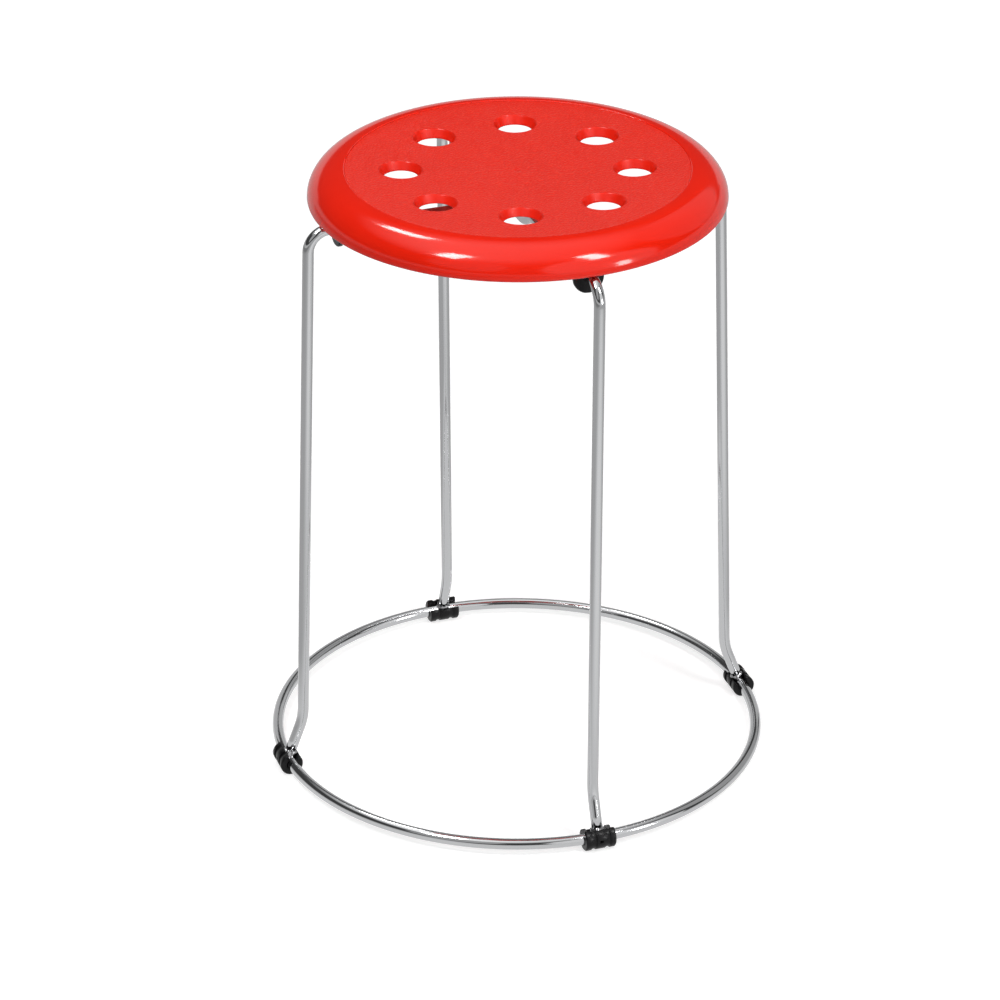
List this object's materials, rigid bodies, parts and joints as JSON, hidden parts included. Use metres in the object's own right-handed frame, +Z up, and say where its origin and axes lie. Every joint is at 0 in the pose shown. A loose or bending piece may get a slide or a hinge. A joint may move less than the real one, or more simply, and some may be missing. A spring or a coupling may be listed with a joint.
{
  "type": "metal stool",
  "caption": "Round backless metal stool: moulded plastic seat with a ring of round holes on crossing bent-rod legs joined by a floor ring.",
  "frame": {"origin": "on the floor, straight under the middle of the seat", "axes": "+Z up; the two crossing leg rods run along X and Y under the seat; the front, where one screwed rod clip shows, is -Y, and the other clip is at -X"},
  "size_m": [0.369, 0.369, 0.45],
  "materials": {
    "seat": "moulded red plastic, glossy rim, finely grained panel",
    "leg_rods": "bright chrome plating on bent steel rod",
    "floor_ring": "bright chrome plating on steel rod",
    "welds": "plated weld beads",
    "screws": "zinc plated",
    "clips": "satin black moulded plastic",
    "feet": "satin black moulded plastic"
  },
  "bodies": {
    "root": {"seat": "seat", "rod_frame_x": "leg_rods", "rod_frame_y": "leg_rods", "floor_ring": "floor_ring", "ring_welds": "welds", "centre_weld": "welds", "clip_screws": "screws", "rod_clip_left": "clips", "rod_clip_front": "clips", "foot_saddle_right": "feet", "foot_saddle_rear": "feet", "foot_saddle_left": "feet", "foot_saddle_front": "feet"}
  },
  "joints": []
}
